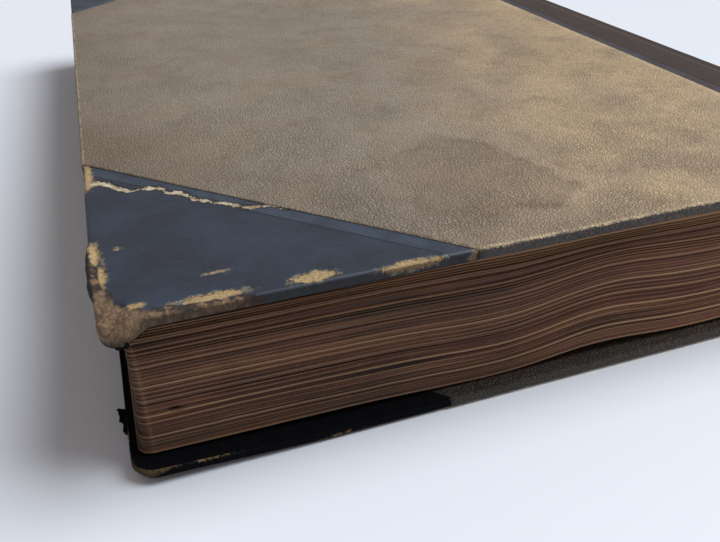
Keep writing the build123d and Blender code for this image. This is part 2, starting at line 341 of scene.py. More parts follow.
def clothFinish(name, edgeColour, speckled):
    look, f = clothLook, Finish(name)
    x, y = f.split(f.place)[:2]
    # golden towards the spine, greyer along the fore-edge and the tail
    towardsGold = f.step(x * 0.01 + y * -0.003 + f.noise(38, 4) * 0.9, 0.25, 1.35)
    colour = f.mix(towardsGold, look["grey"], look["gold"])
    colour = f.mix(f.step(f.noise(24, 5, 0.62), 0.42, 0.66, 0, 0.6), colour, look["brown"])
    colour = f.mix(f.step(f.noise(9, 5, 0.65, distortion=0.6), 0.46, 0.74, 0, 0.34), colour, look["dark"])
    colour = f.mix(f.step(f.noise(2.6, 4, 0.7), 0.45, 0.75, 0, 0.3), colour, look["dark"])
    # handled dull along the fore-edge and beside the head corner's leather
    handled = f.step(x, -62, -98) + f.step(x + y, -135, -172)
    colour = f.mix(handled * 0.3, colour, srgb(106, 86, 68))
    # an old water mark, darker inside and darkest at its tide line
    mark = f.field("stain") + f.noise(9, 3) * 11 - 5.5 + f.noise(2.2, 4) * 2.6 - 1.3
    soaked = f.step(mark, -2.6, 3.0, 0, 0.52) * f.step(f.noise(11, 4), 0.3, 0.62, 0.55, 1)
    colour = f.mix(soaked, colour, look["stain"])
    tide = f.step(mark, -1.4, 0.6) * (1 - f.step(mark, 0.6, 4.2))
    colour = f.mix(tide * f.step(f.noise(12, 2), 0.38, 0.66, 0.0, 0.42), colour, srgb(106, 88, 68))
    # pebbled grain: small rounded islands with fine creases between them
    drift = f.node("ShaderNodeTexNoise", {}, {"Vector": f.place, "Scale": 0.9, "Detail": 2.0}, "Color")
    wobble = f.node("ShaderNodeVectorMath", {"operation": "ADD"}, {0: f.place, 1: drift})
    creases = f.cells(look["grain"], "DISTANCE_TO_EDGE", vector=wobble)
    pebble = f.step(creases, 0.0, 0.26)
    rubbed = f.step(f.noise(16, 4), 0.35, 0.7)
    height = pebble * (0.5 + rubbed * 0.5) + f.noise(0.28, 2) * 0.3 + f.noise(1.7, 3) * 0.8
    colour = f.mix(f.step(creases, 0.0, 0.15, 0.45, 0.0), colour, srgb(92, 76, 60))
    # rubbed pale along the arris and dark and speckled below it
    edge = f.field("edge") + f.noise(1.4, 4) * 1.4 - 0.7
    colour = f.mix(f.step(edge, -1.1, -0.5, 0.97, 0.0), colour, edgeColour)
    arris = f.step(edge, -0.9, -0.5) * (1 - f.step(edge, -0.35, 0.15))
    colour = f.mix(arris * f.step(f.noise(5, 4), 0.36, 0.56, 0.15, 0.8), colour, srgb(206, 184, 146))
    speck = f.step(f.noise(0.8, 4, 0.7), 0.5, 0.62) * f.step(edge, -0.5, -1.0)
    colour = f.mix(speck * f.step(x, -40, 60, 0.25 * speckled, 0.8 * speckled), colour, srgb(122, 98, 72))
    roughness = f.noise(6, 3) * 0.25 + 0.5 - pebble * 0.06
    return f.surface(colour, roughness, f.bump(height, look["grainDepth"], 0.9))


leatherLook = {
    "blue": srgb(47, 57, 74), "black": srgb(39, 45, 57), "brown": srgb(62, 44, 32),
    "pulp": srgb(176, 150, 108), "pulpDark": srgb(128, 102, 70), "cream": srgb(200, 191, 162),
    "hatch": 0.62, "bandWidth": 3.9, "grainDepth": 0.035,
}


def wornLeather(f, colour, greyed):
    # the board's pulp where the leather has gone: colour, mask and height
    look = leatherLook
    wear = f.field("wear") + (f.noise(1.5, 5, 0.7) - 0.5) * 3.2 + (f.noise(0.35, 3) - 0.5) * 1.2
    mask = f.step(wear, -0.05, 0.08)
    pale = f.field("pale")
    x, y, z = f.split(f.place)
    fibres = f.noise(1.0, 5, 0.7, f.merge(x / 0.6, y / 0.6, z / 1.6))
    pulp = f.ramp(fibres, (0.3, look["pulpDark"]), (0.5, look["pulp"]), (0.7, srgb(194, 172, 132)))
    deep = f.ramp(fibres, (0.3, srgb(80, 62, 48)), (0.5, srgb(122, 98, 75)), (0.7, srgb(158, 132, 102)))
    deep = f.mix(f.step(f.noise(4, 4, 0.6), 0.46, 0.62, 0, 0.6), deep, srgb(66, 51, 41))
    # scraps of the dark skin still hold to the rubbed edge, away from the very tip
    held = f.step(f.noise(3.2, 4, 0.65), 0.43, 0.53) * f.step(x + y, -245, -238)
    deep = f.mix(held * 0.85, deep, srgb(38, 33, 33))
    pulp = f.mix(f.step(pale, 0.05, 0.45), deep, pulp)
    torn = f.mix(f.step(f.noise(2.6, 4), 0.38, 0.6), srgb(152, 132, 100), look["cream"])
    pulp = f.mix(f.step(pale, 0.55, 0.95), pulp, torn)
    # the leather's torn lip is grey beside clean pulp, and a thin painted shadow line runs along the tear
    tear = f.step(pale, 0.6, 0.9)
    rim = f.step(wear, -0.7, -0.05) * (1 - mask) * f.step(pale, 0.05, 0.4, 0.0, greyed) * (1 - tear)
    colour = f.mix(rim * f.step(f.noise(1.6, 3), 0.42, 0.6) * 0.75, colour, srgb(116, 121, 106))
    # painted shadow: a thin dark line beside the tear
    colour = f.mix(f.step(wear, -0.75, -0.35) * (1 - mask) * tear * 0.7, colour, srgb(15, 16, 20))
    lip = f.step(wear, 0.0, 0.06) * (1 - f.step(wear, 0.1, 0.42))
    fringe = f.mix(f.step(pale, 0.1, 0.4), srgb(30, 25, 24), srgb(132, 92, 56))
    worn = f.mix(lip * 0.62 * (1 - tear * 0.7), pulp, fringe)
    if greyed == 1:
        # grime on the upright edge: black along the fore-edge and low on the tip, brown along the head
        edge = f.field("edge") + f.noise(1.2, 4) * 0.9 - 0.45
        upright = f.step(edge, -0.7, -1.3)
        knocked = f.step(edge, -0.3, -0.8) * f.step(y, -144, -142) * f.step(y, -124, -127)
        worn = f.mix(knocked * f.step(x, -98, -99), worn, srgb(20, 19, 21))
        worn = f.mix(upright * f.step(x, -94.5, -91) * 0.7, worn, srgb(52, 40, 34))
        underTip = f.step(z + f.noise(1.5, 4) * 2, 36.2, 34.6) * f.step(x, -92, -94)
        worn = f.mix(underTip * 0.85, worn, srgb(32, 28, 28))
    else:
        worn = f.mix(0.55, worn, srgb(34, 31, 27))
    return f.mix(mask, colour, worn), mask, fibres


def leatherFinish(name, browned=0.0, blackened=0.0, shine=0.5):
    look, f = leatherLook, Finish(name)
    colour = f.mix(f.step(f.noise(14, 5, 0.6), 0.35, 0.7), look["black"], look["blue"])
    if browned:
        colour = f.mix(browned, colour, look["brown"])
    if blackened:
        colour = f.mix(blackened, colour, srgb(16, 18, 24))
    edge = f.field("edge")
    colour = f.mix(f.step(edge, -1.1, -0.5, 0.85, 0), colour, srgb(10, 10, 13))
    # blind-tooled band beside the cloth: fine hatching between two fillets
    border = f.field("border")
    band = f.step(border, 0.25, 0.4) * (1 - f.step(border, look["bandWidth"] - 0.2, look["bandWidth"]))
    flat = f.step(edge, -0.1, 0.5)
    hatch = (border * (2 * math.pi / look["hatch"]) + f.noise(9, 2) * 2).sine()
    rubbedBand = band * flat * f.step(f.noise(7, 4), 0.3, 0.62, 0.45, 1.0)
    colour = f.mix(rubbedBand * (0.26 + hatch * 0.26), colour, srgb(92, 106, 124))
    fillet = f.step(border, look["bandWidth"] - 0.15, look["bandWidth"]) * (
        1 - f.step(border, look["bandWidth"] + 0.2, look["bandWidth"] + 0.4))
    colour = f.mix(fillet * 0.7, colour, srgb(20, 22, 27))
    # scuffs, a few pale specks and dulled high places
    specks = f.step(f.noise(0.7, 5, 0.75), 0.5, 0.72, 0, 0.03 if blackened else 0.26)
    colour = f.mix(specks, colour, srgb(78, 88, 98))
    scuff = f.step(f.noise(1.6, 6, 0.75), 0.64, 0.72) * f.step(f.noise(13, 3), 0.52, 0.62)
    colour = f.mix(scuff * 0.55, colour, srgb(112, 116, 112))
    worn, mask, fibres = wornLeather(f, colour, greyed=0.1 if blackened else 1.0)
    grain = f.cells(0.55, "DISTANCE_TO_EDGE") * 0.5 + f.noise(0.35, 3) * 0.6 + f.noise(3, 3) * 1.3
    height = (grain + hatch * band * flat * 1.2 - fillet * 2.5) * (1 - mask) + fibres * mask * 9 - mask * 5
    roughness = f.noise(5, 4) * 0.2 + (0.5 if blackened else 0.36) + mask * 0.4 + scuff * 0.2
    roughness = roughness + f.step(edge, -0.3, -0.9, 0, 0.3)
    normal = f.bump(height, look["grainDepth"], 0.9)
    return f.surface(worn, roughness, normal, **{"Specular IOR Level": shine})


def pulpFinish(name):
    f = Finish(name)
    fibres = f.noise(0.8, 5, 0.7)
    colour = f.ramp(fibres, (0.25, srgb(96, 78, 58)), (0.5, srgb(150, 128, 94)), (0.75, srgb(186, 164, 126)))
    return f.surface(colour, f.noise(3) * 0.2 + 0.75, f.bump(fibres, 0.2))


leafLook = {
    "dark": srgb(74, 43, 31), "mid": srgb(122, 78, 54), "tan": srgb(156, 120, 84),
    # groove is the colour of the painted shade in the gaps between leaf edges
    "bright": srgb(180, 146, 106), "groove": srgb(20, 10, 7),
}


def leavesFinish(name):
    look, f = leafLook, Finish(name)
    depth, along = f.field("depth"), f.field("along")
    # every leaf edge is one thin streak that runs for some way and fades
    streaks = f.noise(1.0, 1, 0.5, f.merge(along / 55, depth / 0.36, along * 0.002))
    broad = f.noise(1.0, 1, 0.5, f.merge(along / 70, depth / 0.85))
    grit = f.noise(0.45, 3, 0.7)
    sheets = streaks * 0.6 + broad * 0.22 + grit * 0.18
    # the darkest stop of the ramp paints shade in the gaps between leaf edges
    colour = f.ramp(sheets, (0.4, look["groove"]), (0.465, look["dark"]), (0.56, look["mid"]),
                    (0.67, look["tan"]))
    blotch = f.noise(9, 4, 0.6)
    colour = f.mix(f.step(blotch, 0.4, 0.7, 0, 0.5), colour, look["dark"])
    x, _, z = f.split(f.place)
    # redder in random patches, and redder and lighter towards the spine as painted light
    reddish = f.step(f.noise(30, 3), 0.4, 0.65, 0, 0.3) + f.step(x, -30, 40, 0, 0.25)
    colour = f.mix(reddish, colour, srgb(126, 74, 56))
    # the tan field also carries the painted highlight at the fore-edge's head corner
    tanned = f.field("tan") * (0.3 + streaks * 0.9)
    colour = f.mix(tanned, colour, look["tan"])
    # pale leaf edges, partly a painted highlight along the bundles' tops and on the proud leaves
    lit = f.field("bright") * f.step(streaks, 0.2, 0.5, 0.5, 1.0)
    colour = f.mix(lit, colour, look["bright"])
    # painted shade in the cracks between bundles and in the folded-in pocket
    colour = f.mix(f.field("groove") * 0.9, colour, look["groove"])
    # painted shade: the leaf edges are darkened most towards the fore-edge and the bottom, and along the
    # fore-edge itself
    paintedShade = f.step(x, 30, -60) * 0.26 + f.step(z, 20, 5) * 0.2 * f.step(x, 40, -40)
    paintedShade = paintedShade + f.step(x, -94.8, -95.8) * 0.3
    colour = f.mix(paintedShade, colour, srgb(38, 23, 17))
    height = streaks + broad * 0.7 + grit * 0.3
    return f.surface(colour, f.noise(2) * 0.15 + 0.78, f.bump(height, 0.22, 0.9))


def paperFinish(name):
    f = Finish(name)
    browned = f.step(f.noise(60, 5), 0.3, 0.75, 0, 0.6)
    colour = f.mix(browned, srgb(190, 172, 138), srgb(176, 154, 118))
    spots = f.step(f.cells(11), 0.14, 0.03) * f.step(f.noise(6, 3), 0.45, 0.6)
    colour = f.mix(spots * 0.45, colour, srgb(146, 108, 70))
    x, y = f.split(f.place)[:2]
    rim = f.step(x, -72, -96) + f.step(y.unsigned(), 122, 149)
    colour = f.mix(rim * (0.22 + f.noise(12, 4) * 0.5), colour, srgb(140, 110, 76))
    height = f.noise(0.5, 4, 0.7) + f.noise(8, 3) * 1.5
    return f.surface(colour, f.noise(4) * 0.1 + 0.8, f.bump(height, 0.04, 0.8))


def threadFinish(name, first, second, pitch, slant):
    # twisted or woven thread: strands at a slant, two colours
    f = Finish(name, "object")
    x, y, z = f.split(f.place)
    strands = ((y * slant + z + x) * (2 * math.pi / pitch)).sine()
    colour = f.mix(f.step(strands, -0.2, 0.2), first, second)
    colour = f.mix(f.step(f.noise(2.5, 4), 0.45, 0.7, 0, 0.4), colour, srgb(82, 66, 48))
    return f.surface(colour, f.noise(1) * 0.1 + 0.8, f.bump(strands + f.noise(0.2, 2), 0.12))


def weaveFinish(name, threads):
    # open starched gauze glued over the back
    f = Finish(name, "object")
    x, y, z = f.split(f.place)
    warp, weft = (y * threads).sine(), ((x + z) * threads).sine()
    weave = warp.larger(weft)
    colour = f.mix(f.step(weave, -0.1, 0.6), srgb(120, 98, 70), srgb(196, 182, 150))
    return f.surface(colour, f.noise(1) * 0.1 + 0.82, f.bump(weave, 0.15))


def cardFinish(name):
    f = Finish(name, "object")
    colour = f.mix(f.noise(4, 5, 0.7), srgb(128, 104, 76), srgb(170, 146, 110))
    return f.surface(colour, f.noise(1) * 0.1 + 0.8, f.bump(f.noise(0.4, 4), 0.08))


# ---- the covers

covers = {
    "front": {"headRadius": 4.4, "leg": 70.0},
    "rear": {"headRadius": 5.2, "leg": 66.0},
    "tailRadius": 2.6, "clothEase": 0.85, "leatherEase": 0.8, "innerEase": 0.5,
    "leatherLevel": 0.2, "turnIn": 14.0, "tongue": 0.8, "tableGap": 0.13,
}


def skinLength(level, ease):
    return ease * math.pi / 2 + book["coverThickness"] - level - ease - covers["innerEase"] \
        + covers["innerEase"] * math.pi / 2 + covers["tongue"]


def wrapSkin(side, px, py, level, ease, thick=None):
    # a flat sheet laid on the cover and folded round its edges, outer face at height 0
    thick = book["coverThickness"] if thick is None else thick
    inner = covers["innerEase"]
    x0, y0, y1 = book["foreX"] + level, book["headY"] + level, book["tailY"] - level
    head = py < 0
    radius = np.where(head, covers[side]["headRadius"], covers["tailRadius"]) - level
    endDistance = np.where(head, py - y0, y1 - py)
    cx, cy = radius, radius
    dx, dy = np.maximum(cx - (px - x0), 0), np.maximum(cy - endDistance, 0)
    # the square grid is pressed round at the corners
    reach = np.maximum(dx, dy)
    s = reach - (radius - ease)
    far = np.maximum(np.hypot(dx, dy), 1e-9)
    nx, ny = -dx / far, np.where(head, -1, 1) * dy / far
    px, py = px + dx + nx * reach, py - np.where(head, -1, 1) * dy + ny * reach
    l1, l2, l3 = ease * math.pi / 2, thick - level - ease - inner, inner * math.pi / 2
    over = np.clip(s, 0, l1 + l2 + l3 + covers["tongue"])
    a = np.clip(over / ease, 0, math.pi / 2)
    b = np.clip((over - l1 - l2) / inner, 0, math.pi / 2)
    back = np.clip(over - l1 - l2 - l3, 0, covers["tongue"])
    out = ease * np.sin(a) - inner * (1 - np.cos(b)) - back
    z = level + ease * (1 - np.cos(a)) + np.clip(over - l1, 0, l2) + inner * np.sin(b) - 0.03 * (back > 0)
    footX = px + np.where(s > 0, -nx * s, 0)
    footY = py + np.where(s > 0, -ny * s, 0)
    turn = a + b
    x, y = footX + np.where(s > 0, nx * out, 0), footY + np.where(s > 0, ny * out, 0)
    normal = np.stack([nx * np.sin(turn), ny * np.sin(turn), -np.cos(turn)], -1)
    return np.stack([x, y, z], -1), normal, s, px, py


frontTip = {"reach": 8.6, "drop": 3.0, "swell": 2.9, "swellReach": 9.5}
rearTip = {"reach": 46.0, "drop": 1.45}


def tipBend(side, points):
    # the bumped head corner of the front cover is crushed down, the rear one has warped up off the table
    tip = frontTip if side == "front" else rearTip
    r = np.hypot(points[..., 0] - book["foreX"], points[..., 1] - book["headY"])
    bent = points.copy()
    drop = tip["drop"] * smooth(tip["reach"] - r, 0, tip["reach"]) ** 1.3
    if side == "front":
        # its layers have swollen apart, but not where the leaves hold them up
        swell = tip["swell"] * smooth(tip["swellReach"] - r, 0, tip["swellReach"] - 3.5)
        held = smooth(np.minimum(points[..., 0] + 97.0, points[..., 1] + 148.4), -0.8, 0.6)
        swell = swell * (1 - held) + np.minimum(swell, 0.45) * held
        share = np.clip(points[..., 2] / book["coverThickness"], 0, 1)
        drop = drop * (1 - share) + swell * share
    else:
        drop = drop + covers["tableGap"]
    bent[..., 2] += drop
    return bent


def inBook(side, points):
    # from the cover's own heights to the closed book
    placed = points.copy()
    if side == "front":
        placed[..., 2] = book["top"] - placed[..., 2]
    return placed


wear = {
    # mm from the fore-edge and from the head; a patch is its middle and its two half widths
    "front": {
        "outline": [(-0.6, 28.5), (1.3, 25.7), (1.7, 21.3), (2.05, 16.4), (2.7, 12.6), (3.8, 6.7),
                    (5.8, 4.7), (8.4, 2.8), (12, 2.4), (16.5, 2.5), (24.7, 1.6), (28.5, -0.4)],
        "tear": [(-2, 57.5), (3.1, 57.6), (5.1, 56.3), (7.8, 52.6), (9.3, 50.9), (12.2, 50.8),
                 (15.9, 50.4), (17.6, 47.2), (20.7, 45.4), (22.7, 41.6), (27.4, 37.8), (29.9, 35.9),
                 (33.5, 33.1), (37.4, 32.5), (40.5, 29.8)],
        "patches": [(0.6, 61.5, 1.9, 7.5), (1.0, 24.5, 1.4, 4.5), (2.2, 15.5, 0.8, 5.0),
                    (20, 2.6, 6.4, 1.1), (38.2, 2.4, 4.4, 1.7), (56.4, 0.2, 5.6, 1.3),
                    (69.6, -1.0, 1.6, 1.3), (5.6, 25.4, 0.7, 0.6), (21.9, 10.1, 1.4, 0.35),
                    (7.4, 4.2, 1.6, 0.8)],
    },
    "rear": {
        "outline": [(-2.2, 9), (-1.0, 5.2), (2.0, 2.0), (5.2, -0.9), (9.5, -1.6)],
        "tear": None,
        "patches": [(15, -1.9, 3.0, 0.4), (42, -0.3, 2.0, 0.25), (-2, 12, 0.7, 2.5)],
    },
    "plain": {
        "outline": None,
        "tear": None,
        "patches": [(1.2, 1.2, 2.6, 1.6), (-0.3, 18, 0.8, 5), (24, -0.2, 5, 0.6)],
    },
}
stainOutline = [(66, 43), (74, 49), (85, 57), (92, 49), (100, 29), (101, 18), (94, 10), (80, 11), (67, 16)]


def wearFields(worn, u, v):
    # wear is positive where the leather has gone; pale runs from grimy pulp, 0, over clean, 0.5, to cream, 1
    patched, torn, rubbed = np.full(u.shape, -9.0), np.full(u.shape, -9.0), np.full(u.shape, -9.0)
    for cx, cy, rx, ry in worn["patches"]:
        reach = np.hypot((u - cx) / rx, (v - cy) / ry)
        patched = np.maximum(patched, (1 - reach) * min(rx, ry) * 1.3)
    if worn["tear"]:
        distance, along = lineDistance(u, v, worn["tear"])
        width = 0.66 + 0.45 * wander(along, along * 0, 2.4, 3) + 0.5 * smooth(16 - along, 0, 12)
        width *= smooth(along, 66, 50)
        torn = width - distance
    if worn["outline"]:
        outline = worn["outline"]
        distance, along = lineDistance(u, v, outline)
        region = inside(u, v, outline + [(outline[-1][0], -30), (-30, -30), (-30, outline[0][1])])
        rubbed = np.where(region, distance, -distance)
    result = np.maximum(np.maximum(patched, torn), rubbed)
    pale = 0.5 * smooth(patched - rubbed, -0.6, 0.3)
    pale = np.where(torn > np.maximum(patched, rubbed), 1.0, pale)
    return np.clip(result, -9, 4), pale


def plainLeather(size, wear=-9.0, pale=0.0):
    # the same numbers all over, for leather off the cover's face
    return {"wear": np.full(size, wear), "pale": np.full(size, pale),
            "border": np.full(size, -5.0), "edge": np.full(size, -5.0)}


def cornerPiece(side, end):
    # one leather corner: the face, the edges and the turn-ins in one skin
    leg, level, ease = covers[side]["leg"], covers["leatherLevel"], covers["leatherEase"]
    fine = 0.5 if end == "head" and side == "front" else 0.8
    length = skinLength(level, ease)
    u = lines(level + ease - length, (3.5, 0.3), (12, fine * 0.8), (leg + 2, fine))
    px, v = np.meshgrid(book["foreX"] + u, u, indexing="ij")
    py = book["headY"] + v if end == "head" else book["tailY"] - v
    points, normals, s, px, py = wrapSkin(side, px, py, level, ease)
    v = py - book["headY"] if end == "head" else book["tailY"] - py
    worn = wear[side] if end == "head" else wear["plain"]
    wearValue, pale = wearFields(worn, px - book["foreX"], v)
    gone = smooth(wearValue + 0.6 * wander(px, py, 1.2, 5), -0.1, 0.5)
    rough = wander(px, py, 0.9, 8) * 0.5 + wander(px, py, 2.3, 9) * 0.5
    lift = 0.05 * wander(px, py, 9, 2) - gone * (0.28 + 0.16 * rough)
    if side == "front" and end == "head":
        # the crushed tip is hollowed and split between its layers
        crushed = smooth(11 - np.hypot(px - book["foreX"], v), 0, 6)
        around = np.arctan2(v + 3, px - book["foreX"] + 3) * 9
        lift += crushed * (0.3 * wander(around, s * 0.25, 1.5, 12) + 0.14 * wander(around, s * 0.6, 0.7, 13))
        # the skin stands off along the fore-edge where the corner was knocked
        bulge = 0.95 * smooth(v, 8, 14) * smooth(v, 31, 25) * smooth(s, -0.4, 0.9)
        lift += bulge * np.maximum(-normals[..., 0], 0)
    lift = np.maximum(lift, -0.42)
    points = points + normals * (lift * smooth(length - 0.8 - s, 0, 1.2))[..., None]
    points = inBook(side, tipBend(side, points))
    flip = (side == "rear") == (end == "head")
    border = (leg - (px - book["foreX"]) - v) / math.sqrt(2)
    fields = {"wear": wearValue, "pale": pale, "border": border, "edge": np.clip(-s, -6, 40)}
    sheet = makeGrid("sheet", points, fields, flip)
    inner = turnInRing(side, end, leg, flip)
    normal = (1, 1, 0) if end == "head" else (1, -1, 0)
    corner = (book["foreX"] + leg + 0.9, book["headY"] if end == "head" else book["tailY"], 0)
    for part in (sheet, inner):
        cutAway(part, corner, normal)
    return join(f"{side}{end.title()}CornerLeather", [sheet, inner])


def turnInRing(side, end, leg, flip):
    # the inner part of a skin, flat on the board
    wide = covers["turnIn"] + 0.6
    u = lines(0.45, (1.4, 0.3), (wide, 0.9), (leg + 2, 2.2))
    px, v = np.meshgrid(book["foreX"] + u, u, indexing="ij")
    radius = covers[side]["headRadius"] if end == "head" else covers["tailRadius"]
    shiftX, shiftY = roundedIn(np.maximum(radius - (px - book["foreX"]), 0), np.maximum(radius - v, 0))
    py = book["headY"] + (v + shiftY) if end == "head" else book["tailY"] - (v + shiftY)
    inset = np.minimum(px - book["foreX"], v)
    lift = 0.04 * wander(px, v, 5, 4) + 0.06 * smooth(inset, wide, wide - 1.5)
    points = np.stack([px + shiftX, py, book["coverThickness"] + lift], -1)
    points = inBook(side, tipBend(side, points))
    fields = plainLeather(px.size)
    if side == "front" and end == "head":
        fields["wear"] = np.clip(6 - np.hypot(px - book["foreX"], v), -3, 3)
    return makeGrid("ring", points, fields, not flip, inset[1:, 1:] < wide + 0.01)


def clothPiece(side):
    # the cloth side with its three turned-in edges, cut at the corners and the spine leather
    ease, length = covers["clothEase"], skinLength(0.0, covers["clothEase"])
    fore, head = book["foreX"], book["headY"]
    u = lines(ease - length, (3.5, 0.35), (12, 1.6), (book["stripX"] - fore, 2.6))
    v = lines(ease - length, (3.5, 0.35), (12, 1.6), (150, 2.6))
    px, py = np.meshgrid(fore + u, mirrored(head + v), indexing="ij")
    points, normals, s, px, py = wrapSkin(side, px, py, 0.0, ease)
    lift = 0.04 * wander(px, py, 14, 1) + 0.03 * wander(px, py, 5, 6)
    points = points + normals * (lift - 0.03)[..., None]
    points = inBook(side, tipBend(side, points))
    u, v = px - fore, py - head
    signed = lineDistance(u, v, stainOutline + stainOutline[:1])[0]
    stain = np.where(inside(u, v, stainOutline), signed, -signed) if side == "front" else signed * 0 - 9
    fields = {"stain": np.clip(stain, -12, 12), "edge": np.clip(-s, -6, 40)}
    sheet = makeGrid("sheet", points, fields, side == "rear")
    inner = clothTurnIn(side)
    leg = covers[side]["leg"]
    for part in (sheet, inner):
        for y, way in ((book["headY"], -1), (book["tailY"], 1)):
            cutAway(part, (fore + leg, y, 0), (-1, way, 0))
    cloth = join(f"{side}ClothSide", [sheet, inner])
    return thicken(cloth, skins["cloth"])


def clothTurnIn(side):
    # the cloth's inner part, flat on the board
    wide = covers["turnIn"] + 0.6
    u = lines(0.45, (1.4, 0.3), (wide, 1.3), (book["stripX"] - book["foreX"], 4))
    v = lines(0.45, (1.4, 0.3), (wide, 1.3), (152, 5))
    px, py = np.meshgrid(book["foreX"] + u, mirrored(book["headY"] + v), indexing="ij")
    inset = np.minimum(px - book["foreX"], book["tailY"] - np.abs(py))
    points = np.stack([px, py, book["coverThickness"] + 0.05 * wander(px, py, 6, 3)], -1)
    keep = (inset[1:, 1:] < wide + 0.01) | (inset[:-1, :-1] < wide - 0.01)
    fields = {"stain": np.full(px.size, -9.0), "edge": np.full(px.size, -5.0)}
    return makeGrid("ring", inBook(side, tipBend(side, points)), fields, side == "front", keep)


millboard = {"inset": 0.7, "level": 0.75, "ease": 0.4, "thickness": 2.45, "innerFace": 2.42, "width": 185.2}


def boardCore(side):
    # the millboard inside the skins
    u = lines(-1.6, (3, 0.4), (millboard["width"], 6))
    v = lines(-1.6, (3, 0.4), (151, 6))
    across = book["foreX"] + millboard["inset"] + u
    down = mirrored(book["headY"] + millboard["inset"] + v)
    px, py = np.meshgrid(across, down, indexing="ij")
    outer = wrapSkin(side, px, py, millboard["level"], millboard["ease"], millboard["thickness"])[0]
    inner = outer.copy()
    inner[..., 2] = millboard["innerFace"]
    faces = [makeGrid(f"{side}BoardFace", inBook(side, tipBend(side, points)), flip=side == flipped)
             for points, flipped in ((outer, "rear"), (inner, "front"))]
    return join(f"{side}Millboard", faces)


jointLine = {
    # outer face of the spine leather from the cloth over the joint to the shoulder, x and depth
    "x": [71.9, 84.0, 86.4, 87.5, 88.9, 90.4, 92.0, 93.2, 93.9],
    "z": [0.2, 0.2, 0.21, 0.30, 0.80, 1.12, 1.06, 1.00, 1.85],
    "jointThickness": 2.0, "ridgeX": 93.2,
}


def jointPiece(side):
    # spine leather on the cover and over the joint, with its turn-ins at head and tail
    level, ease = covers["leatherLevel"], covers["leatherEase"]
    length = skinLength(level, ease)
    startX, endX = jointLine["x"][0], jointLine["x"][-1]
    px = np.concatenate([lines(startX, (84, 1.1), (86.9, 0.35)), lines(87.05, (88.0, 0.1), (endX, 0.3))])
    v = lines(level + ease - length, (3.5, 0.3), (12, 1.5), (152, 2.4))
    px, py = np.meshgrid(px, mirrored(book["headY"] + v), indexing="ij")
    thinner = book["coverThickness"] - jointLine["jointThickness"]
    thick = book["coverThickness"] - thinner * smooth(px, 85.9, 87.1)
    points, normals, s, px, py = wrapSkin(side, px, py, level, ease, thick)
    depth = np.interp(px, jointLine["x"], jointLine["z"]) - level
    over = smooth(s, 2.0, 0.5)
    points[..., 2] += depth * over
    lift = 0.05 * wander(px, py, 6, 2) + 0.03 * wander(px, py, 1.8, 7)
    points = points + normals * (lift * (s < 2))[..., None]
    points = inBook(side, tipBend(side, points))
    ridge = smooth(np.abs(px - jointLine["ridgeX"]), 1.1, 0.1)
    wearValue = -1.1 + 1.0 * ridge + 0.25 * wander(px, py, 20, 4)
    fields = {"wear": wearValue, "pale": np.full(px.size, 0.3), "border": px - book["stripX"],
              "edge": np.clip(-s, -6, 40)}
    parts = [makeGrid("sheet", points, fields, side == "rear")]
    for way in (-1, 1):
        u, w = np.meshgrid(lines(startX, (86.6, 1.5)), lines(0.5, (14.6, 0.8)), indexing="ij")
        lift = book["coverThickness"] + 0.03 * wander(u, w, 4, 2)
        flat = np.stack([u, way * (book["tailY"] - w), lift], -1)
        flip = (side == "front") == (way == -1)
        parts.append(makeGrid("turn", inBook(side, tipBend(side, flat)), plainLeather(u.size), flip))
    return thicken(join(f"{side}JointLeather", parts), skins["joint"])


spine = {
    "bands": 5, "bandHeight": 1.15, "bandWidth": 2.3, "capReach": 4.0, "capEase": 1.3, "endInset": 0.15,
    "jointDepth": 0.98, "inset": 0.03,
}


def spinePiece():
    # the rounded back with five raised bands and rolled caps at both ends
    radius = book["spineRadius"]
    reach = math.asin((book["middle"] - spine["jointDepth"]) / radius)
    angles = np.linspace(-reach, reach, 61)
    half = book["tailY"] - spine["endInset"]
    rows = lines(-half + spine["capEase"], (half - spine["capEase"], 1.15))
    bend = np.linspace(0, math.pi / 2, 7)[1:]
    capY = half - spine["capEase"] + spine["capEase"] * np.sin(bend)
    capIn = spine["capEase"] * (1 - np.cos(bend))
    drop = np.linspace(spine["capEase"], spine["capReach"], 5)[1:]
    y = np.concatenate([np.full(4, -half), -capY[::-1], rows, capY, np.full(4, half)])
    inward = np.concatenate([drop[::-1], capIn[::-1], rows * 0, capIn, drop])
    turn, y = np.meshgrid(angles, y, indexing="ij")
    inward = np.broadcast_to(inward, turn.shape)
    pitch = 2 * book["tailY"] / (spine["bands"] + 1)
    ridge = np.zeros(turn.shape)
    for n in range(spine["bands"]):
        away = np.abs(y - (book["headY"] + pitch * (n + 1)))
        ridge = np.maximum(ridge, np.sqrt(np.clip(1 - (away / spine["bandWidth"]) ** 2, 0, 1)))
    fade = smooth(reach - np.abs(turn), 0.0, 0.2)
    lift = spine["bandHeight"] * ridge * fade + 0.06 * wander(turn * 30, y, 7, 3) * (inward < 0.01)
    r = radius - inward + lift - spine["inset"]
    points = np.stack([book["spineCentreX"] + r * np.cos(turn), y, book["middle"] + r * np.sin(turn)], -1)
    rubbed = np.maximum(ridge * 0.8, smooth(np.abs(y), half - 5, half - 0.5) * 0.95)
    rubbed = np.maximum(rubbed, smooth(np.abs(turn), reach - 0.05, reach))
    wearValue = -1.4 + rubbed * 1.15 + 0.25 * wander(turn * 30, y, 15, 5)
    fields = {"wear": wearValue, "pale": np.full(turn.size, 0.25), "border": np.full(turn.size, -5.0),
              "edge": np.full(turn.size, 5.0)}
    return thicken(makeGrid("spineLeather", points, fields, True), skins["spine"])


# ---- the leaves

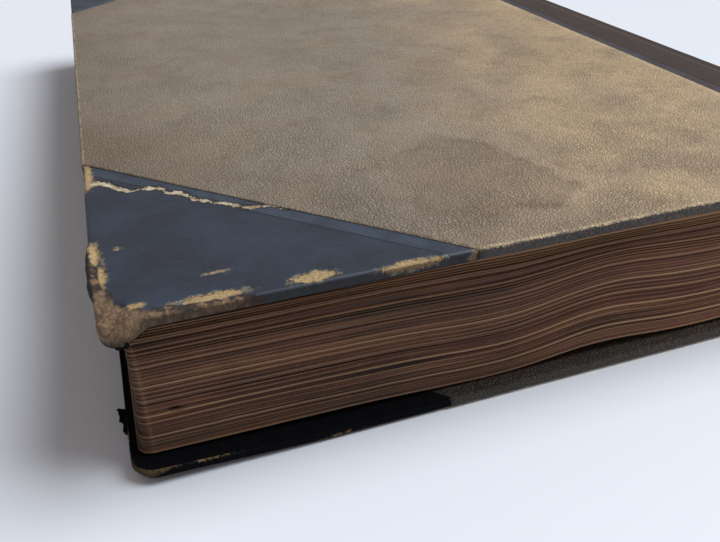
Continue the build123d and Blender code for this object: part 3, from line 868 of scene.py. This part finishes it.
leaves = {
    "groups": 46, "columns": 150, "marginTop": 4.0, "marginBottom": 2.3, "hollow": 0.6, "headFore": 4.6,
    "headSpine": 2.6, "tail": 3.5, "cornerTop": 0.7, "cornerBottom": 2.4, "cockle": 2.4, "sag": 0.9,
    "lineX": [0, 0.19, 0.33, 0.44, 0.55, 0.63, 0.73, 0.86, 1.0],
    "lineFall": [0.35, 0.5, 0.75, 0.93, 0.1, 0.45, 0.7, 0.3, 0.9],
    # leaves that stand out: share of the way down, how far, and how pale, the paleness partly a painted
    # highlight
    "proud": [(0.118, 0.3, 0.5), (0.448, 0.42, 0.95), (0.472, 0.2, 0.4), (0.692, 0.45, 1.0),
              (0.735, 0.3, 0.6), (0.845, 0.45, 0.95), (0.985, 0.4, 0.8), (0.23, 0.2, 0.35), (0.57, 0.2, 0.4)],
    "backRadius": 30.7, "pocket": (0.652, 0.678), "pocketX": -89.6, "foreRows": 62, "tailColumns": 70,
    # rows across one bundle: share of its height, share of the crack's depth, darkness (painted shade),
    # paleness (partly painted highlight)
    "leafRows": [(0.0, 1.0, 1.0, 0.0), (0.13, 0.5, 0.7, 0.2), (0.3, 0.0, 0.0, 1.0), (0.55, -0.1, 0.0, 0.5),
                 (0.86, 0.3, 0.35, 0.0)],
}
cockleFall = curveThrough(np.array(leaves["lineX"], float), np.array(leaves["lineFall"], float))
leafRun = book["hingeX"] - book["foreX"]
headSlope = (leaves["headSpine"] - leaves["headFore"]) / leafRun


def leafHeight(depth, along):
    swing = leaves["cockle"] * (depth + leaves["sag"] * np.sin(math.pi * depth))
    base = book["leafTop"] - depth * (book["leafTop"] - book["leafBottom"] - leaves["cockle"])
    return base - swing * cockleFall(np.clip(along, 0, 1))


def cornerRadius(depth):
    return leaves["cornerTop"] + depth * (leaves["cornerBottom"] - leaves["cornerTop"])


def leafPath(depth):
    # one trip round the trimmed edges at a share of the way down: plan points, outward normals and how
    # near the fore-edge's head corner they are, as the strength of a painted highlight on the rounded corner
    z = leafHeight(depth, 1.0)
    foreX = book["foreX"] + leaves["marginTop"] + depth * (leaves["marginBottom"] - leaves["marginTop"]) \
        + leaves["hollow"] * 4 * depth * (1 - depth)
    headY = book["headY"] + leaves["headFore"] + headSlope * (foreX - book["foreX"])
    tailY = book["tailY"] - leaves["tail"]
    radius = cornerRadius(depth)
    backX = book["spineCentreX"] + math.sqrt(leaves["backRadius"] ** 2 - (z - book["middle"]) ** 2)
    t = np.linspace(1, 0, leaves["columns"]) ** 1.25
    headX = foreX + radius + (backX - foreX - radius) * t
    head = np.stack([headX, headY + headSlope * (headX - foreX)], -1)
    turn = np.linspace(0, math.pi / 2, 9)[1:-1]
    sine, cosine = np.sin(turn), np.cos(turn)
    nearCorner = np.stack([foreX + radius - radius * sine, headY + radius - radius * cosine], -1)
    foreY = np.linspace(headY + radius, tailY - radius, leaves["foreRows"])
    fore = np.stack([np.full(len(foreY), foreX), foreY], -1)
    farCorner = np.stack([foreX + radius - radius * cosine, tailY - radius + radius * sine], -1)
    tailX = foreX + radius + (backX - foreX - radius) * np.linspace(0, 1, leaves["tailColumns"])
    tail = np.stack([tailX, np.full(len(tailX), tailY)], -1)
    path = np.concatenate([head, nearCorner, fore, farCorner, tail])
    normals = np.concatenate([
        np.tile([0, -1], (len(head), 1)), np.stack([-sine, -cosine], -1),
        np.tile([-1, 0], (len(fore), 1)), np.stack([-cosine, sine], -1), np.tile([0, 1], (len(tail), 1))])
    # painted highlight: strongest on the head side of the corner, fading round it onto the fore-edge
    corner = np.concatenate([
        0.5 * smooth(headX, foreX + radius + 0.5, foreX + radius), np.linspace(0.5, 0.05, len(turn)),
        0.05 * smooth(foreY, headY + radius + 9, headY + radius), np.zeros(len(turn) + len(tail))])
    return path, normals, corner


def leavesPiece():
    random = np.random.default_rng(5)
    rowDepth, rowOut, rowGrooveShade, rowBright, rowGroup = [], [], [], [], []
    bounds = np.cumsum(random.uniform(0.45, 1.55, leaves["groups"]))
    bounds = np.concatenate([[0], bounds / bounds[-1]])
    for n in range(leaves["groups"]):
        top, bottom = bounds[n], bounds[n + 1]
        out, bright = random.uniform(-0.16, 0.2), random.choice([0.0, 0.12, 0.28, 0.42])
        for depth, proud, glow in leaves["proud"]:
            if top <= depth < bottom:
                out, bright = proud, glow
        crack = random.choice([0.1, 0.22, 0.42, 0.75], p=[0.34, 0.34, 0.22, 0.1])
        for share, deep, groove, lit in leaves["leafRows"]:
            rowDepth.append(top + (bottom - top) * share)
            rowOut.append((out if share else min(out, 0)) - deep * crack)
            rowGrooveShade.append(groove * min(1, crack * 2.2 + 0.1))
            rowBright.append(bright * lit)
            rowGroup.append(n)
    rowDepth.append(1.0), rowOut.append(0.0), rowGrooveShade.append(0.2), rowBright.append(0.5)
    rowGroup.append(leaves["groups"])
    points, alongs, cornerLight = [], [], []
    for depth, out, group in zip(rowDepth, rowOut, rowGroup):
        path, normals, corner = leafPath(depth)
        run = np.concatenate([[0], np.cumsum(np.hypot(*np.diff(path, axis=0).T))])
        along = np.clip((path[:, 0] - book["foreX"]) / leafRun, 0, 1)
        vary = 0.09 * wander(run, np.full(run.shape, group * 3.7), 16, 6)
        offset = out + (vary + 0.05 * wander(run, run * 0 + group, 4, 2))
        if leaves["pocket"][0] < depth < leaves["pocket"][1]:
            # one leaf is folded in at the head, which leaves a small pocket; its darkness is painted shade,
            # added below
            offset = offset - smooth(np.abs(path[:, 0] - leaves["pocketX"]), 1.5, 0.6) * (path[:, 1] < -146)
        stray = 0.16 * wander(run, np.full(run.shape, depth * 160), 22, 4) * (0.02 < depth < 0.98)
        points.append(np.column_stack([path + normals * offset[:, None], leafHeight(depth, along) + stray]))
        alongs.append(run)
        cornerLight.append(corner)
    points, alongs, cornerLight = np.array(points), np.array(alongs), np.array(cornerLight)
    rows, columns = points.shape[:2]
    depthField = np.repeat(np.array(rowDepth) * book["leafStack"], columns).reshape(rows, columns)
    share = depthField / book["leafStack"]
    # tan holds the tanned top leaves and the painted highlight at the head corner
    tan = np.maximum(smooth(share, 0.118, 0.1) * (0.45 + 0.4 * smooth(points[..., 0], -60, 0)), cornerLight)
    # painted shade in the cracks between bundles, less at the head corner
    groove = np.repeat(rowGrooveShade, columns).reshape(rows, columns) * (
        0.55 + 0.45 * wander(alongs, depthField * 6, 12, 8)) * (1 - 0.6 * cornerLight)
    # painted shade inside the folded-in pocket
    pocket = smooth(np.abs(points[..., 0] - leaves["pocketX"]), 1.7, 0.7) * (points[..., 1] < -145.5) * (
        (share > leaves["pocket"][0]) & (share < leaves["pocket"][1]))
    groove = np.maximum(groove, pocket * 1.1)
    bright = np.repeat(rowBright, columns).reshape(rows, columns)
    bright = bright * (0.75 + 0.25 * wander(alongs, depthField, 25, 9))
    fields = {"depth": depthField, "along": alongs, "tan": tan, "groove": groove, "bright": bright}
    fields = {key: np.ravel(values) for key, values in fields.items()}
    faces = gridFaces(rows, columns, flip=True)
    faces += [((i + 1) * columns, i * columns, i * columns + columns - 1, (i + 1) * columns + columns - 1)
              for i in range(rows - 1)]
    block = makeObject("leafEdges", points.reshape(-1, 3), faces, fields)
    lids = [leafFace(depth, 20, 30) for depth in (0.0, 1.0)]
    return join("leaves", [block] + lids)


def leafFace(depth, across, down, lift=0.0):
    # the broad face of the first or the last leaf, a little inside its trimmed edges
    path = leafPath(depth)[0]
    x = np.linspace(path[:, 0].min() + 0.15, path[0, 0] - 0.2, across * 4)
    head = book["headY"] + leaves["headFore"] + headSlope * (x - book["foreX"]) + 0.15
    tail = book["tailY"] - leaves["tail"] - 0.15
    t = np.linspace(0, 1, down * 2)
    px = np.repeat(x[:, None], len(t), 1)
    py = head[:, None] + (tail - head)[:, None] * t
    radius = cornerRadius(depth)
    dy = np.maximum(radius - np.minimum(py - head[:, None], tail - py), 0)
    shiftX, shiftY = roundedIn(np.maximum(radius - (px - x[0]), 0), dy)
    px, py = px + shiftX, py + np.where(py < 0, 1, -1) * shiftY
    z = leafHeight(depth, (px - book["foreX"]) / leafRun) + lift
    size = px.size
    fields = {"depth": np.full(size, depth * book["leafStack"]), "along": py - book["headY"],
              "tan": np.full(size, 0.9), "groove": np.zeros(size), "bright": np.full(size, 0.6)}
    return makeGrid("face", np.stack([px, py, z], -1), fields, depth > 0.5)


endpaper = {
    "edgeX": -93.6, "edgeY": 146.4, "boardEndX": 86.0, "lift": 0.13, "flyEndX": 86.1,
    "foldHeadY": -147.0, "foldTailY": 146.6, "foldBoard": (85.7, 2.78), "foldLeafX": 86.05,
    "front": {"depth": 0.0, "flyLift": 0.28, "foldLift": 0.2},
    "rear": {"depth": 1.0, "flyLift": -0.12, "foldLift": -0.2},
}


def flyleafPiece(side):
    # the free endpaper, following the cockle of the leaf under it
    obj = leafFace(endpaper[side]["depth"], 30, 45, endpaper[side]["flyLift"])
    obj.name = f"{side}Flyleaf"
    cutAway(obj, (endpaper["flyEndX"], 0, 0), (1, 0, 0))
    return thicken(obj, skins["paper"])


def pastedownPiece(side):
    # the endpaper pasted to the board, wavy where the turn-ins end under it
    across = lines(endpaper["edgeX"], (-84, 1.2), (endpaper["boardEndX"], 3.5))
    down = lines(-endpaper["edgeY"], (-136, 1.2), (136, 4), (endpaper["edgeY"], 1.2))
    px, py = np.meshgrid(across, down, indexing="ij")
    inset = np.minimum(px - book["foreX"], book["tailY"] - np.abs(py))
    lift = endpaper["lift"] + 0.05 * smooth(inset, 15.2, 13.6) + 0.02 * wander(px, py, 9, 2)
    points = np.stack([px, py, book["coverThickness"] + lift], -1)
    return makeGrid(f"{side}Pastedown", inBook(side, tipBend(side, points)), flip=side == "front")


def foldPiece(side):
    # the endpaper where it turns from the board to the leaves: a narrow strip, bowed a little between them
    y = np.linspace(endpaper["foldHeadY"], endpaper["foldTailY"], 60)
    flyX = endpaper["foldLeafX"]
    flyZ = float(leafHeight(endpaper[side]["depth"], 0.995)) + endpaper[side]["foldLift"]
    boardX, boardZ = endpaper["foldBoard"]
    boardZ = inBook(side, np.array([0, 0, boardZ]))[2]
    t = np.linspace(0, 1, 28)
    x = boardX + (flyX - boardX) * t + 0.25 * np.sin(math.pi * t)
    z = boardZ + (flyZ - boardZ) * t
    points = np.array([[(a, b, c) for b in y] for a, c in zip(x, z)])
    return makeGrid(f"{side}EndpaperFold", points, flip=side == "rear"), (boardX, boardZ), (flyX, flyZ)


# ---- small torn bits at the head corners

scraps = [
    # each is a ragged flake between the line where it still holds and the line of its torn edge, in mm
    {"name": "rearForeEdgeFlap", "cover": "rear", "worn": -1.6,
     "holds": [(-99.3, -137.6, 1.8), (-99.4, -134.0, 2.1), (-99.4, -130.2, 2.3)],
     "torn": [(-99.9, -137.6, 1.5), (-100.9, -135.0, 1.1), (-101.8, -129.0, 2.2)]},
    {"name": "frontTipScrap", "cover": "front", "worn": -0.5,
     "holds": [(-99.2, -147.6, 35.6), (-98.3, -149.9, 34.6), (-96.8, -151.2, 34.4), (-95.2, -151.6, 34.5)],
     "torn": [(-99.2, -147.4, 34.8), (-98.0, -149.8, 33.0), (-96.4, -151.0, 32.7), (-94.8, -151.3, 33.7)]},
]


def alongLine(line, t):
    # points at shares of the way through a line of points
    stops = np.linspace(0, 1, len(line))
    return np.stack([np.interp(t, stops, axis) for axis in zip(*line)], -1)


def scrapPiece(scrap, number):
    t = np.linspace(0, 1, 34)
    holds, torn = alongLine(scrap["holds"], t), alongLine(scrap["torn"], t)
    w = np.linspace(0, 1, 9)
    ragged = 1 + 0.22 * wander(t * 30, t * 0, 1.1, number + 3) + 0.18 * wander(t * 30, t * 0, 3.1, number + 9)
    reach = w[None, :] * np.where(w[None, :] > 0.4, ragged[:, None], 1)
    points = holds[:, None] + reach[..., None] * (torn - holds)[:, None]
    tt, ww = np.meshgrid(t, w, indexing="ij")
    points = points + 0.1 * wander(tt * 14, ww * 3, 0.9, number)[..., None]
    fields = plainLeather(tt.size, scrap["worn"], 0.15)
    return thicken(makeGrid(scrap["name"], points, fields), skins["scrap"])


# ---- put the book together

leatherFront = leatherFinish("blueBlackLeather")
leatherRear = leatherFinish("blackLeather", blackened=0.95, shine=0.05)
leatherSpine = leatherFinish("spineLeather", browned=0.8, shine=0.3)
clothFront = clothFinish("pebbledCloth", clothLook["frontEdge"], speckled=1.0)
clothRear = clothFinish("pebbledClothRear", clothLook["rearEdge"], speckled=0.3)
pulp, edgePaper = pulpFinish("millboardPulp"), leavesFinish("brownedLeafEdges")
paper = paperFinish("endpaper")

for side in ("front", "rear"):
    body = f"{side}_cover"
    cloth = clothPiece(side)
    dress(cloth, clothFront if side == "front" else clothRear)
    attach(cloth, body)
    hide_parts(f"{side}_cloth_side")
    for end in ("head", "tail"):
        corner = cornerPiece(side, end)
        dress(corner, leatherFront if side == "front" else leatherRear)
        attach(corner, body)
        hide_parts(f"{side}_{end}_corner")
    core = boardCore(side)
    dress(core, pulp)
    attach(core, body)
    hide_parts(f"{side}_board")
    joint = jointPiece(side)
    dress(joint, leatherSpine)
    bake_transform(joint)
    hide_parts(f"{side}_hinge_leather")
    fly = flyleafPiece(side)
    dress(fly, paper)
    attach(fly, "leaves_and_spine")
    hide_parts(f"{side}_flyleaf")
    fold, boardEnd, leafEnd = foldPiece(side)
    dress(fold, paper)
    boardEnd[0] * 0.001
    boardEnd[1] * 0.001
    leafEnd[0] * 0.001
    leafEnd[1] * 0.001
    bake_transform(fold)
    pasted = pastedownPiece(side)
    dress(pasted, paper)
    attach(pasted, body)
    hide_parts(f"{side}_pastedown")
print("covers made")

back = spinePiece()
dress(back, leatherSpine)
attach(back, "leaves_and_spine")
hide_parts("spine_leather")
block = leavesPiece()
dress(block, edgePaper)
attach(block, "leaves_and_spine")
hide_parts("text_block")
print("leaves and spine made")

for number, scrap in enumerate(scraps):
    flake = scrapPiece(scrap, number)
    dress(flake, leatherRear)
    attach(flake, f"{scrap['cover']}_cover")

cordTwist = threadFinish("hempCord", srgb(176, 156, 118), srgb(132, 112, 80), 1.4, 1.0)
bandThread = threadFinish("stripedHeadband", srgb(120, 44, 34), srgb(198, 180, 142), 1.8, 0.0)
gauze, card = weaveFinish("starchedGauze", 6.3), cardFinish("greyCard")
for n in range(1, 6):
    dress(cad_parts[f"sewing_cord_{n}"], cordTwist)
dress(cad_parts["mull_lining"], gauze)
dress(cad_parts["hollow_back"], card)
for end in ("head", "tail"):
    dress(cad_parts[f"{end}_headband"], bandThread)
print("sewing and linings dressed")


# ---- floor, light and camera

studio = {
    "floor": (0.83, 0.87, 0.945), "fill": 0.285, "fillTint": (1.0, 0.92, 0.89), "key": 3.1, "keyAngle": 42,
    "keyTint": (0.955, 1.0, 1.035), "keyFrom": (0.63, -0.06, 0.77), "backdrop": (0.86, 0.89, 0.93),
    "floorReach": 3000, "floorBelow": 0.05,
}


def floorPiece():
    # a wide square just below the book
    span = np.linspace(-studio["floorReach"], studio["floorReach"], 25)
    px, py = np.meshgrid(span, span, indexing="ij")
    obj = makeGrid("floor", np.stack([px, py, px * 0 - studio["floorBelow"]], -1))
    f = Finish("paleFloor", "object")
    colour = f.mix(f.noise(400, 3), tuple(c * 0.985 for c in studio["floor"]), studio["floor"])
    dress(obj, f.surface(colour, f.noise(60) * 0.1 + 0.5, f.bump(f.noise(3, 3), 0.02, 0.4)))


floorPiece()
world = bpy.data.worlds.new("studio")
sky = NodeTree(world)
# the camera sees a pale backdrop, and everything else the plain fill
seen = sky.node("ShaderNodeLightPath", output="Is Camera Ray")
fill = sky.node("ShaderNodeBackground", {}, {"Color": studio["fillTint"], "Strength": studio["fill"]})
backdrop = sky.node("ShaderNodeBackground", {}, {"Color": studio["backdrop"], "Strength": 1.0})
shown = sky.node("ShaderNodeMixShader", {}, {0: seen, 1: fill, 2: backdrop})
sky.node("ShaderNodeOutputWorld", {}, {"Surface": shown})
bpy.context.scene.world = world
key = bpy.data.objects.new("softKey", bpy.data.lights.new("softKey", "SUN"))
key.data.energy = studio["key"]
key.data.angle = math.radians(studio["keyAngle"])
key.data.color = studio["keyTint"]
key.rotation_euler = Vector(studio["keyFrom"]).to_track_quat("Z", "Y").to_euler()
bpy.context.scene.collection.objects.link(key)

cameraView = {
    "place": (-0.08928, -0.25799, 0.10986), "lens": 36.94,
    "right": (0.94418, -0.32883, -0.01974), "up": (0.19096, 0.49753, 0.84616),
    "back": (-0.26842, -0.80270, 0.53256),
}
camera = bpy.data.objects.new("camera", bpy.data.cameras.new("camera"))
camera.data.lens = cameraView["lens"]
camera.data.sensor_width = 36
camera.data.clip_start = 0.005
turned = Matrix([cameraView["right"], cameraView["up"], cameraView["back"]]).transposed().to_4x4()
camera.matrix_world = Matrix.Translation(cameraView["place"]) @ turned
bpy.context.scene.collection.objects.link(camera)
bpy.context.scene.camera = camera
bpy.context.scene.view_settings.view_transform = "Standard"
print("floor, light and camera set")
